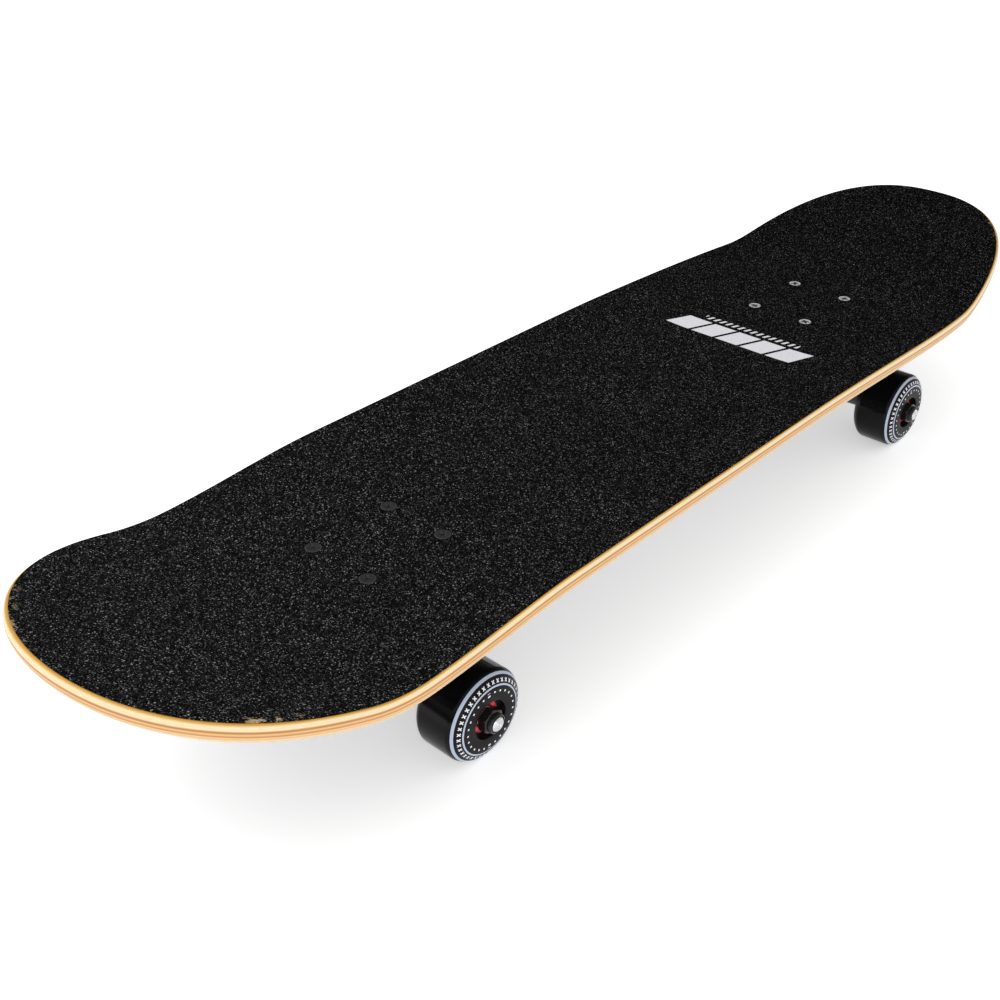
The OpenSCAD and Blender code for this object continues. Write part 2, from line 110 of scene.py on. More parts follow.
# The printed mark lies between the nose truck and the middle of the board
MARK_X = (113.5, 132.5)
MARK_Y = (-2.0, 97.0)
MARK_SLANT = 0.4
MARK_GAPS = (17.8, 37.6, 57.4, 77.2)
MARK_GAP = 2.6
TICK_X = (136.0, 141.0)
TICK_Y = (-40.0, 35.0)
TICK_STEP = 5.0
TICK_SHARE = 0.42
WEAR_FROM = 300.0                           # the tape's edge is worn beyond this, towards both tips
GRIT_SCALE = 2100                           # cells per metre
# Cells per metre of the painted glints on the grit
PAINTED_GLINT_SCALE = 1400


# ---- Camera, light and floor ----

CAMERA_PLACE = (-592.0, -432.4, 474.6)
CAMERA_TARGET = (-152.3, -33.0, 100.7)
LENS = 47.513
SENSOR = 36
STUDIO_LEVEL = 0.86
TENT = ((0.12, 0.10), (0.42, 1.0))          # height of the direction, brightness
BACKDROP = 1.2
FLOOR_HALF = 6.0                            # metres
FLOOR_GLOW = 0.45


def make_camera():
    data = bpy.data.cameras.new("camera")
    data.lens = LENS
    data.sensor_width = SENSOR
    data.clip_start = 0.01
    camera = bpy.data.objects.new("camera", data)
    bpy.context.scene.collection.objects.link(camera)
    camera.location = Vector(CAMERA_PLACE) * MM
    target = Vector(CAMERA_TARGET) * MM
    camera.rotation_euler = (target - camera.location).to_track_quat("-Z", "Y").to_euler()
    bpy.context.scene.camera = camera


def area_light(name, place, target, size, power):
    data = bpy.data.lights.new(name, "AREA")
    data.shape = "RECTANGLE"
    data.size, data.size_y = size
    data.energy = power
    lamp = bpy.data.objects.new(name, data)
    bpy.context.scene.collection.objects.link(lamp)
    lamp.visible_camera = False
    lamp.location = place
    lamp.rotation_euler = (Vector(target) - Vector(place)).to_track_quat("-Z", "Y").to_euler()


def make_studio():
    """A white light tent over a light table: reflections see the tent's dark opening near the horizon."""
    world = bpy.data.worlds.new("studio")
    bpy.context.scene.world = world
    world.use_nodes = True
    tree = world.node_tree
    back = tree.nodes["Background"]
    back.inputs["Strength"].default_value = STUDIO_LEVEL
    way = tree.nodes.new("ShaderNodeTexCoord")
    height = tree.nodes.new("ShaderNodeSeparateXYZ")
    tent = tree.nodes.new("ShaderNodeValToRGB")
    for element, (at, level) in zip(tent.color_ramp.elements, TENT):
        element.position = at
        element.color = (level, level, level, 1)
    ray = tree.nodes.new("ShaderNodeLightPath")

    def pick(test, otherwise, chosen):
        node = tree.nodes.new("ShaderNodeMix")
        node.data_type = "RGBA"
        tree.links.new(ray.outputs[test], node.inputs["Factor"])
        for socket, value in ((node.inputs[6], otherwise), (node.inputs[7], chosen)):
            if isinstance(value, bpy.types.NodeSocket):
                tree.links.new(value, socket)
            else:
                socket.default_value = value
        return node.outputs[2]

    tree.links.new(way.outputs["Generated"], height.inputs[0])
    tree.links.new(height.outputs[2], tent.inputs[0])
    seen = pick("Is Glossy Ray", (1, 1, 1, 1), tent.outputs[0])
    tree.links.new(pick("Is Camera Ray", seen, (BACKDROP, BACKDROP, BACKDROP, 1)), back.inputs["Color"])
    bpy.context.scene.view_settings.view_transform = "Standard"
    area_light("key", (-0.55, 0.2, 0.62), (-0.32, 0, 0.09), (0.8, 0.6), 2.3)
    area_light("front", (-0.9, -1.5, 0.4), (0, -0.05, 0.06), (1.4, 0.5), 6)
    area_light("rim", (1.4, -0.9, 0.5), (0.3, 0, 0.06), (0.8, 0.5), 1.5)

    mesh = bpy.data.meshes.new("floor")
    corners = [(x * FLOOR_HALF, y * FLOOR_HALF, 0) for x, y in ((-1, -1), (1, -1), (1, 1), (-1, 1))]
    mesh.from_pydata(corners, [], [(0, 1, 2, 3)])
    floor = bpy.data.objects.new("floor", mesh)
    bpy.context.scene.collection.objects.link(floor)
    table = Shader("light_table", 0.9, Specular_IOR_Level=0.0,
                   Emission_Color=(1, 1, 1, 1), Emission_Strength=FLOOR_GLOW)
    table.colour((0.9, 0.9, 0.9))
    mesh.materials.append(table.mat)


# ---- Material helpers ----

class Shader:
    """One procedural material: a Principled shader and short calls that add nodes to it."""

    def __init__(self, name, rough, **constants):
        self.mat = bpy.data.materials.new(name)
        self.mat.use_nodes = True
        self.tree = self.mat.node_tree
        self.bsdf = self.tree.nodes["Principled BSDF"]
        self.bsdf.inputs["Roughness"].default_value = rough
        for key, value in constants.items():
            self.bsdf.inputs[key.replace("_", " ")].default_value = value

    def put(self, socket, value):
        if isinstance(value, bpy.types.NodeSocket):
            self.tree.links.new(value, socket)
        elif isinstance(value, (tuple, list)) and len(value) == 3 and socket.type == "RGBA":
            socket.default_value = (*value, 1)
        else:
            socket.default_value = value

    def node(self, kind, out=0, props=(), **inputs):
        """Adds a node. Its inputs go by name, or by number as i0, i1 and i2."""
        node = self.tree.nodes.new("ShaderNode" + kind)
        for key, value in dict(props).items():
            setattr(node, key, value)
        for key, value in inputs.items():
            by_number = key[0] == "i" and key[1:].isdigit()
            self.put(node.inputs[int(key[1:]) if by_number else key], value)
        return node.outputs[out]

    def here(self):
        return self.node("TexCoord", "Object")

    def uv(self):
        return self.node("TexCoord", "UV")

    def scaled(self, vector, scale):
        return self.node("Mapping", Vector=vector, Scale=scale)

    def noise(self, vector, scale, detail=3, rough=0.5, out=0):
        return self.node("TexNoise", out, Vector=vector, Scale=scale, Detail=detail, Roughness=rough)

    def cells(self, vector, scale, out="Color", feature="F1"):
        return self.node("TexVoronoi", out, {"feature": feature}, Vector=vector, Scale=scale)

    def math(self, op, a, b=0.0, c=0.0, clamp=False):
        return self.node("Math", 0, {"operation": op, "use_clamp": clamp}, i0=a, i1=b, i2=c)

    def ramp(self, value, stops, kind="LINEAR"):
        node = self.tree.nodes.new("ShaderNodeValToRGB")
        node.color_ramp.interpolation = kind
        elements = node.color_ramp.elements
        while len(elements) < len(stops):
            elements.new(0.5)
        for element, (at, colour) in zip(elements, stops):
            element.position = at
            element.color = (*colour, 1) if isinstance(colour, (tuple, list)) else (colour, colour, colour, 1)
        self.put(node.inputs[0], value)
        return node.outputs[0]

    def mix(self, share, a, b, blend="MIX"):
        node = self.tree.nodes.new("ShaderNodeMix")
        node.data_type = "RGBA"
        node.blend_type = blend
        self.put(node.inputs["Factor"], share)
        self.put(node.inputs[6], a)
        self.put(node.inputs[7], b)
        return node.outputs[2]

    def bump(self, height, strength, distance):
        normal = self.node("Bump", Height=height, Strength=strength, Distance=distance)
        self.put(self.bsdf.inputs["Normal"], normal)

    def colour(self, value):
        self.put(self.bsdf.inputs["Base Color"], value)

    def roughness(self, value):
        self.put(self.bsdf.inputs["Roughness"], value)


def srgb(r, g, b):
    """Linear colour of an 8-bit screen colour."""
    return tuple(((v / 255 + 0.055) / 1.055) ** 2.4 if v > 10 else v / 255 / 12.92 for v in (r, g, b))


def lit(r, g, b, level=1.2):
    """Linear colour that shows as this screen colour under the studio's light on the sides."""
    return tuple(v / level for v in srgb(r, g, b))


def edge_maple():
    """Seven plies on the rounded edge: V of the UV map is the depth below the top, U runs along the edge."""
    s = Shader("maple_plies", 0.4, Specular_IOR_Level=0.3, Coat_Weight=0.12, Coat_Roughness=0.15)
    uv = s.uv()
    wander = s.noise(s.scaled(uv, (14, 1, 1)), 1.0, 2)
    split = s.node("SeparateXYZ", 1, Vector=uv)
    depth = s.math("ADD", split, s.math("MULTIPLY", s.math("SUBTRACT", wander, 0.5), 0.05))
    plies = s.ramp(depth, [
        (0.00, lit(196, 146, 48)), (0.04, lit(212, 166, 70)), (0.07, lit(242, 210, 138)),
        (0.12, lit(248, 236, 202)), (0.19, lit(246, 226, 176)), (0.235, lit(248, 236, 204)),
        (0.27, lit(234, 204, 154)), (0.305, lit(199, 145, 86)), (0.35, lit(166, 107, 60)),
        (0.385, lit(212, 163, 98)), (0.42, lit(236, 192, 126)), (0.47, lit(228, 182, 116)),
        (0.51, lit(194, 136, 76)), (0.55, lit(190, 134, 78)), (0.60, lit(236, 204, 154)),
        (0.68, lit(222, 172, 106)), (0.76, lit(240, 212, 166)), (1.00, lit(226, 188, 140)),
    ])
    streak = s.noise(s.scaled(uv, (260, 30, 1)), 1.0, 4, 0.6)
    pores = s.noise(s.scaled(uv, (1500, 26, 1)), 1.0, 2, 0.5)
    grain = s.mix(s.ramp(streak, [(0.30, 0.0), (0.75, 0.34)]), plies, lit(206, 142, 84))
    s.colour(s.mix(s.ramp(pores, [(0.62, 0.0), (0.80, 0.30)]), grain, lit(150, 96, 54)))
    s.bump(streak, 0.12, 0.0002)
    return s.mat


def stained_veneer():
    """Black-stained maple veneer under satin lacquer: open grain along the board."""
    s = Shader("stained_veneer", 0.4, Specular_IOR_Level=0.3, Coat_Weight=0.1, Coat_Roughness=0.2)
    here = s.here()
    bend = s.noise(s.scaled(here, (2.2, 9, 9)), 1.0, 3, out="Color")
    warped = s.mix(0.035, here, bend, "ADD")
    rings = s.noise(s.scaled(warped, (5, 210, 210)), 1.0, 3, 0.55)
    fine = s.noise(s.scaled(here, (60, 1500, 1500)), 1.0, 3, 0.6)
    base = s.ramp(rings, [(0.30, srgb(26, 25, 25)), (0.50, srgb(34, 32, 31)), (0.70, srgb(48, 44, 41))])
    s.colour(s.mix(s.ramp(fine, [(0.50, 0.0), (0.85, 0.6)]), base, srgb(12, 11, 11)))
    s.roughness(s.ramp(fine, [(0.3, 0.28), (0.8, 0.46)]))
    s.bump(fine, 0.10, 0.0002)
    return s.mat


def grip_grit():
    """Silicon carbide grit with painted glints on sparse grains and painted shade darkening it towards the
    nose, a plain white slanted bar and a row of small ticks printed across the board, and specks worn pale
    along the edge at both ends."""
    s = Shader("grip_grit", 0.8, Specular_IOR_Level=0.0)
    here = s.here()
    grain = s.cells(here, GRIT_SCALE)
    value = s.node("SeparateColor", 0, Color=grain)
    other = s.node("SeparateColor", 1, Color=s.cells(here, PAINTED_GLINT_SCALE))
    cloud = s.noise(here, 22, 3)
    dark = s.ramp(value, [
        (0.0, 0.0014), (0.48, 0.0038), (0.74, 0.0090), (0.88, 0.025), (0.96, 0.072), (1.0, 0.260),
    ])
    # Painted glints: a few grains lifted bright in the base colour, standing in for light glinting off the
    # grit's facets
    painted_glints = s.ramp(other, [(0.955, 0.0), (0.985, 0.06), (1.0, 0.24)])
    both = s.mix(1.0, dark, painted_glints, "ADD")
    clouded = s.mix(s.ramp(cloud, [(0.35, 0.0), (0.7, 0.25)]), both, (0.005, 0.0049, 0.0049))

    x, y = (s.math("MULTIPLY", s.node("SeparateXYZ", k, Vector=here), 1 / MM) for k in (0, 1))

    # Painted shade: the grit darkens along the board from the tail, near the camera and key lamp, to half at
    # the nose, standing in for the light falling off
    along = s.math("DIVIDE", s.math("ADD", x, TAIL["reach"]), NOSE["reach"] + TAIL["reach"])
    grit = s.mix(1.0, clouded, s.ramp(along, [(0.0, 1.0), (0.45, 0.74), (1.0, 0.50)]), "MULTIPLY")

    def between(v, low, high):
        return s.math("MULTIPLY", s.math("GREATER_THAN", v, low), s.math("LESS_THAN", v, high))

    slanted = s.math("ADD", y, s.math("MULTIPLY", x, MARK_SLANT))
    bar = s.math("MULTIPLY", between(x, *MARK_X), between(slanted, *MARK_Y))
    for gap in MARK_GAPS:
        off = s.math("ABSOLUTE", s.math("SUBTRACT", slanted, gap))
        bar = s.math("MULTIPLY", bar, s.math("GREATER_THAN", off, MARK_GAP / 2))
    tick = s.math("LESS_THAN", s.math("FRACT", s.math("DIVIDE", slanted, TICK_STEP)), TICK_SHARE)
    ticks = s.math("MULTIPLY", s.math("MULTIPLY", between(x, *TICK_X), between(y, *TICK_Y)), tick)
    mark = s.math("MAXIMUM", bar, ticks)
    ink = s.math("MULTIPLY", mark, s.ramp(value, [(0.0, 0.80), (0.30, 0.97), (1.0, 1.0)]))
    printed_grit = s.mix(ink, grit, (0.70, 0.70, 0.73))

    rim = s.ramp(s.node("SeparateXYZ", 1, Vector=s.uv()), [(0.955, 0.0), (0.985, 1.0)])
    ends = s.math("GREATER_THAN", s.math("ABSOLUTE", x), WEAR_FROM)
    rubbed = s.ramp(s.noise(here, 110, 4, 0.65), [(0.57, 0.0), (0.63, 1.0)])
    patchy = s.ramp(s.noise(here, 17, 2), [(0.46, 0.0), (0.56, 1.0)])
    wear = s.math("MULTIPLY", s.math("MULTIPLY", rim, ends), s.math("MULTIPLY", rubbed, patchy))
    s.colour(s.mix(wear, printed_grit, srgb(170, 150, 118)))
    s.bump(s.cells(here, GRIT_SCALE, "Distance"), 0.5, 0.0004)
    return s.mat


def urethane(name, colour, rough, fleck, shine=0.5):
    """Cast urethane: faint cloudiness and fine moulding marks."""
    s = Shader(name, rough, Specular_IOR_Level=shine)
    here = s.here()
    cloud = s.noise(here, 60, 3)
    dust = s.noise(here, 2600, 2)
    paler = tuple(min(1, c * 1.7 + 0.003) for c in colour)
    s.colour(s.mix(s.ramp(cloud, [(0.35, 0.0), (0.75, 0.6)]), colour, paler))
    s.roughness(s.ramp(dust, [(0.3, rough), (0.8, rough + fleck)]))
    s.bump(dust, 0.04, 0.0001)
    return s.mat


def printed(name, colour):
    """Screen-printed ink on the wheel, slightly uneven."""
    s = Shader(name, 0.38)
    here = s.here()
    patch = s.noise(here, 900, 3)
    s.colour(s.mix(s.ramp(patch, [(0.35, 0.0), (0.8, 0.4)]), colour, tuple(c * 0.72 for c in colour)))
    s.bump(patch, 0.05, 0.0001)
    return s.mat


def metal(name, colour, rough, stretch=(1, 1, 1), scale=900, metallic=1.0, **constants):
    """Plated or turned steel: fine marks, along one direction if stretched, and uneven gloss."""
    s = Shader(name, rough, Metallic=metallic, **constants)
    here = s.here()
    lines = s.noise(s.scaled(here, stretch), scale, 3, 0.6)
    patch = s.noise(here, 140, 3)
    s.colour(s.mix(s.ramp(patch, [(0.35, 0.0), (0.75, 0.2)]), colour, tuple(c * 0.62 for c in colour)))
    s.roughness(s.ramp(lines, [(0.25, max(0.05, rough - 0.10)), (0.8, rough + 0.14)]))
    s.bump(lines, 0.06, 0.0001)
    return s.mat


def cast_paint():
    """Satin black coating over a slightly grainy casting."""
    s = Shader("truck_cast", 0.38, Coat_Weight=0.2, Coat_Roughness=0.2)
    here = s.here()
    grain = s.noise(here, 1100, 3, 0.6)
    patch = s.noise(here, 45, 3)
    s.colour(s.mix(s.ramp(patch, [(0.35, 0.0), (0.75, 0.7)]), srgb(30, 30, 32), srgb(46, 46, 49)))
    s.roughness(s.ramp(grain, [(0.3, 0.30), (0.8, 0.52)]))
    s.bump(grain, 0.22, 0.0003)
    return s.mat


# ---- Mesh helpers ----

def smooth_by_angle(mesh, degrees):
    """Smooth shading with sharp edges where faces meet at more than this angle."""
    work = bmesh.new()
    work.from_mesh(mesh)
    bmesh.ops.remove_doubles(work, verts=work.verts, dist=1e-6)
    bmesh.ops.recalc_face_normals(work, faces=work.faces)
    limit = math.radians(degrees)
    for face in work.faces:
        face.smooth = True
    for edge in work.edges:
        edge.smooth = not (len(edge.link_faces) == 2 and edge.calc_face_angle(0) > limit)
    work.to_mesh(mesh)
    work.free()


def new_piece(name, verts, faces, mats, face_mats=None, degrees=35):
    """A mesh object from millimetre points."""
    mesh = bpy.data.meshes.new(name)
    mesh.from_pydata([tuple(c * MM for c in v) for v in verts], [], faces)
    for mat in mats:
        mesh.materials.append(mat)
    if face_mats:
        mesh.polygons.foreach_set("material_index", face_mats)
    if degrees:
        smooth_by_angle(mesh, degrees)
    obj = bpy.data.objects.new(name, mesh)
    bpy.context.scene.collection.objects.link(obj)
    return obj


def place(obj, body, slot, *nodes):
    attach(obj, body)
    if nodes:
        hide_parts(*nodes)
    return obj


# ---- The pressed deck ----

def smoothstep(t):
    t = max(0.0, min(1.0, t))
    return t * t * (3 - 2 * t)


def way_through(d, zone):
    return smoothstep((d - zone[0]) / (zone[1] - zone[0]))


def end_of(x):
    return NOSE if x > 0 else TAIL


def press_z(x, y):
    """Height of the pressed surface above its flat middle; x from the middle of the trucks."""
    end, d = end_of(x), abs(x)
    angle = math.radians(end["angle"])
    past = d - end["bend"]
    arc = KICK_R * math.sin(angle)
    if past <= 0:
        rise = 0.0
    elif past < arc:
        rise = KICK_R - math.sqrt(KICK_R ** 2 - past ** 2)
    else:
        rise = KICK_R * (1 - math.cos(angle)) + (past - arc) * math.tan(angle)
    left = 1 - (1 - end["keep"]) * way_through(d, end["fade"])
    side = max(0.0, abs(y) - FLAT_HALF) / (GRIP_HALF - FLAT_HALF)
    return rise + CONCAVE * left * side * side


def slope_at(x):
    end = end_of(x)
    past = abs(x) - end["bend"]
    if past <= 0:
        return 0.0
    return min(math.radians(end["angle"]), math.asin(min(1.0, past / KICK_R)))


def end_point(end, a):
    """Grip tape's edge on one end: a superellipse from the straight side to the tip."""
    n, m = end["full"]
    x = end["straight"] + (end["reach"] - TIP_BULGE - end["straight"]) * math.sin(a) ** (2 / n)
    return x, GRIP_HALF * max(0.0, math.cos(a)) ** (2 / m)


def outline():
    """Grip tape's edge as a closed loop of evenly spaced points, and their outward directions."""
    turn = [math.radians(a) for a in np.linspace(0.2, 89.8, 400)]
    left = [(-x, y) for x, y in (end_point(TAIL, a) for a in reversed(turn))]
    left += [(x, y) for x, y in (end_point(NOSE, a) for a in turn)]
    tips = [(-(TAIL["reach"] - TIP_BULGE), 0.0), (NOSE["reach"] - TIP_BULGE, 0.0)]
    half = np.array([tips[0]] + left + [tips[1]])
    along = np.concatenate([[0], np.cumsum(np.hypot(*np.diff(half, axis=0).T))])
    count = 230
    steps = np.linspace(0, along[-1], count)
    half = np.column_stack([np.interp(steps, along, half[:, k]) for k in (0, 1)])
    loop = np.vstack([half, half[-2:0:-1] * (1, -1)])
    ahead, behind = np.roll(loop, -1, axis=0), np.roll(loop, 1, axis=0)
    way = ahead - behind
    out = np.column_stack([-way[:, 1], way[:, 0]]) / np.hypot(*way.T)[:, None]
    return loop, out


LOOP, OUT = outline()
LOOP_N = len(LOOP)
BULGE = [EDGE_BULGE + (TIP_BULGE - EDGE_BULGE) * way_through(abs(x), TIP_ZONE) for x, _ in LOOP]


def ring(t, share, inset, lift):
    """A loop of points: share t of the way from the middle line, moved out by a share of the
    edge's bulge less the inset, lifted off the pressed surface."""
    points = []
    for (px, py), (nx, ny), bulge in zip(LOOP, OUT, BULGE):
        out = bulge * share - inset
        sx = max(SPINE_GAP - TAIL["reach"], min(NOSE["reach"] - SPINE_GAP, px))
        x = sx + (px + nx * out - sx) * t
        y = (py + ny * out) * t
        points.append((x + MID_X, y, DECK_Z + press_z(x, y) + lift / math.cos(slope_at(x))))
    return points


def skin(rings):
    faces = []
    for k in range(len(rings) - 1):
        for i in range(LOOP_N):
            j = (i + 1) % LOOP_N
            faces.append((k * LOOP_N + i, k * LOOP_N + j, (k + 1) * LOOP_N + j, (k + 1) * LOOP_N + i))
    return faces


def map_loops(mesh, values):
    """UV map of a skin: U along the edge in metres, V one value per loop."""
    along = np.concatenate([[0], np.cumsum(np.hypot(*np.diff(LOOP, axis=0).T))]) * MM
    closing = along[-1] + math.hypot(*(LOOP[0] - LOOP[-1])) * MM
    layer = mesh.uv_layers.new(name="edge")
    for poly in mesh.polygons:
        wraps = poly.index % LOOP_N == LOOP_N - 1
        for corner in poly.loop_indices:
            k, i = divmod(mesh.loops[corner].vertex_index, LOOP_N)
            layer.data[corner].uv = (closing if wraps and i == 0 else along[i], values[k])


def bolts_at(end):
    """X and Y of the four deck bolts at one end of the board."""
    for sx in (-1, 1):
        for sy in (-1, 1):
            yield MID_X + WAY[end] * BOLT_BASE / 2 + sx * BOLT_X / 2, sy * BOLT_Y / 2


def add_prism(verts, faces, low, high):
    """Adds a closed prism between two loops of as many points."""
    base, count = len(verts), len(low)
    verts += low + high
    faces += [(base + k, base + (k + 1) % count, base + count + (k + 1) % count, base + count + k)
              for k in range(count)]
    faces += [tuple(base + k for k in reversed(range(count))), tuple(base + count + k for k in range(count))]


def drill(obj, radius, low, high):
    """Cuts the eight bolt holes."""
    verts, faces = [], []
    sides = 40
    for end in ENDS:
        for x, y in bolts_at(end):
            loops = [[(x + radius * math.cos(TAU * k / sides), y + radius * math.sin(TAU * k / sides), z)
                      for k in range(sides)] for z in (low, high)]
            add_prism(verts, faces, *loops)
    cut_away(obj, verts, faces)


def cut_away(obj, verts, faces):
    """Cuts closed shapes out of a piece, then drops the cutter."""
    cutter = new_piece("cutter", verts, faces, [], degrees=30)
    cut = obj.modifiers.new("cut", "BOOLEAN")
    cut.operation = "DIFFERENCE"
    cut.solver = "EXACT"
    cut.object = cutter
    bpy.context.view_layer.objects.active = obj
    bpy.ops.object.modifier_apply(modifier=cut.name)
    bpy.data.objects.remove(cutter)


# Shares of the way from the middle line to the edge at which the deck and the tape have a loop of points
SHARES = [0, 0.15, 0.3, 0.38, 0.46, 0.54, 0.62, 0.70, 0.78, 0.86, 0.93, 1]


def make_deck():
    top = [ring(t, 0, 0, 0) for t in SHARES]
    steps = 9
    edge, depths = [], []
    for k in range(1, steps + 1):
        a = math.pi / 2 * k / steps
        depths.append(EDGE_MID * (1 - math.cos(a)))
        edge.append(ring(1, math.sin(a), 0, -depths[-1]))
    for k in range(1, steps + 1):
        a = math.pi / 2 * k / steps
        depths.append(EDGE_MID + (DECK_T - EDGE_MID) * math.sin(a))
        edge.append(ring(1, math.cos(a), EDGE_UNDER * (1 - math.cos(a)), -depths[-1]))
    under = [ring(t, 0, EDGE_UNDER, -DECK_T) for t in reversed(SHARES[:-1])]
    rings = top + edge + under
    faces = skin(rings)
    first, last = len(top) - 1, len(top) + len(edge) - 1
    mats = [1 if first <= i // LOOP_N < last else 0 for i in range(len(faces))]
    verts = [p for r in rings for p in r]
    deck = new_piece("deck_plies", verts, faces, [stained_veneer(), edge_maple()], mats, degrees=0)
    map_loops(deck.data, [0.0] * len(top) + [d / DECK_T for d in depths] + [1.0] * len(under))
    smooth_by_angle(deck.data, 40)
    drill(deck, BOLT_R + BOLT_ROOM, UNDER_Z - 5, DECK_Z + 5)
    place(deck, "board", "maple", "deck")


def make_grip():
    shares = SHARES[:-1] + [0.96, 0.985, 1]
    rings = [ring(t, 0, GRIP_EASE, GRIP_T) for t in shares]
    rings += [ring(1, 0, 0, GRIP_T - GRIP_EASE), ring(1, 0, 0, GLUE_T)]
    rings += [ring(t, 0, 0, GLUE_T) for t in reversed(SHARES[:-1])]
    grip = new_piece("grip_sheet", [p for r in rings for p in r], skin(rings), [grip_grit()], degrees=0)
    map_loops(grip.data, shares + [1.0] * (len(rings) - len(shares)))
    smooth_by_angle(grip.data, 50)
    drill(grip, GRIP_HOLE_R, DECK_Z - 3, DECK_Z + 5)
    place(grip, "board", "grip", "grip_tape")


# ---- Wheels ----

WHEEL_HALF = 16.0
FLAT_R = 17.0           # where the flat of the side ends
SHOULDER = 7.1          # the tread starts this far below the flat
FULLNESS = 1.7
SEAT_R = 11.02          # bearing seat
SEAT_ROUND = 0.5        # rounding of the seat's mouth
FLANGE_Z = 5.0          # the core's flange between the two bearings
FLANGE_R = 9.6
SIDE_BAND = (11.1, 25.0)    # radii between which the side is matte
WHEEL_SIDES = 192

PRINT_LIFT = 0.03
PRINT_RINGS = ((24.2, 25.35), (19.3, 20.2))
CROSS_COUNT = 40
CROSS_RADIUS = 21.9     # where the crosses stand, and the half length, half width and lean of their arms
CROSS_ARM = 1.15
CROSS_ARM_HALF = 0.29
CROSS_LEAN = 0.75
DOT_COUNT = 25
DOT_RADIUS = 16.7
DOT_HALF = (0.52, 0.52)
BLOCK_HALF = (1.2, 0.9)
BLOCKS = (6, 18)        # dots that are plain blocks instead


def face_height(r):
    """Height of the wheel's side above its middle at radius r."""
    u = max(0.0, r - FLAT_R) / (WHEEL_R - FLAT_R)
    return WHEEL_HALF - SHOULDER * (1 - max(0.0, 1 - u ** FULLNESS) ** (1 / FULLNESS))


def half_profile():
    """Radius and height of the wheel's outer half, from the bearing seat to the tread."""
    points = [(SEAT_R, FLANGE_Z), (SEAT_R, WHEEL_HALF - SEAT_ROUND)]
    points += [(SEAT_R + SEAT_ROUND * (1 - math.cos(a)), WHEEL_HALF - SEAT_ROUND + SEAT_ROUND * math.sin(a))
               for a in np.linspace(0.3, math.pi / 2, 4)]
    points += [(14.0, WHEEL_HALF)]
    for a in np.linspace(0, math.pi / 2, 22):
        r = FLAT_R + (WHEEL_R - FLAT_R) * math.sin(a) ** (2 / FULLNESS)
        points.append((r, WHEEL_HALF - SHOULDER * (1 - max(0.0, math.cos(a)) ** (2 / FULLNESS))))
    return points


def lathe(profile, sides, closed=True):
    """Vertices and faces of a turned shape around Z from (radius, height) points."""
    verts = [(r * math.cos(TAU * k / sides), r * math.sin(TAU * k / sides), z)
             for r, z in profile for k in range(sides)]
    rows = len(profile)
    faces = []
    for row in range(rows if closed else rows - 1):
        nxt = (row + 1) % rows
        for k in range(sides):
            on = (k + 1) % sides
            faces.append((row * sides + k, row * sides + on, nxt * sides + on, nxt * sides + k))
    return verts, faces


def wheel_frame(end, side):
    """Matrix in millimetres from a wheel's own frame, Z out of the board, to the row frame."""
    low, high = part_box(f"wheel_{end}_{side}")
    centre = (low + high) / 2 / MM
    way = 1 if side == "left" else -1
    return Matrix.Translation(centre) @ Matrix.Rotation(-way * math.pi / 2, 4, "X")


def moved(verts, matrix):
    return [tuple(matrix @ Vector(v)) for v in verts]


def turned(points, angle):
    """Turns 2D points about the origin."""
    return [(x * math.cos(angle) - y * math.sin(angle), x * math.sin(angle) + y * math.cos(angle))
            for x, y in points]


def print_shapes():
    """Screen print on the outer side: two rings, crosses and dots, laid just above the rounded side."""
    bands, marks, dots = ([], []), ([], []), ([], [])

    def add(store, verts, faces):
        base = len(store[0])
        store[0].extend(verts)
        store[1].extend(tuple(base + i for i in f) for f in faces)

    def flat(points):
        """Lays 2D points (x, y) on the side."""
        return [(x, y, face_height(math.hypot(x, y)) + PRINT_LIFT) for x, y in points]

    for r0, r1 in PRINT_RINGS:
        steps = [r0 + (r1 - r0) * k / 4 for k in range(5)]
        add(bands, *lathe([(r, face_height(r) + PRINT_LIFT) for r in steps], WHEEL_SIDES, closed=False))
    for k in range(CROSS_COUNT):
        for lean in (CROSS_LEAN, -CROSS_LEAN):
            u = Vector((math.cos(lean), math.sin(lean))) * CROSS_ARM
            v = Vector((-math.sin(lean), math.cos(lean))) * CROSS_ARM_HALF
            corners = [u + v, v, v - u, -u - v, -v, u - v]
            points = turned([(CROSS_RADIUS + c.x, c.y) for c in corners], TAU * k / CROSS_COUNT)
            add(marks, flat(points), [(0, 1, 4, 5), (1, 2, 3, 4)])
    for k in range(DOT_COUNT):
        w, h = BLOCK_HALF if k in BLOCKS else DOT_HALF
        corners = [(DOT_RADIUS + sx * w, sy * h) for sx, sy in ((1, 1), (-1, 1), (-1, -1), (1, -1))]
        add(dots, flat(turned(corners, TAU * (k + 0.5) / DOT_COUNT)), [(0, 1, 2, 3)])
    return bands, marks, dots


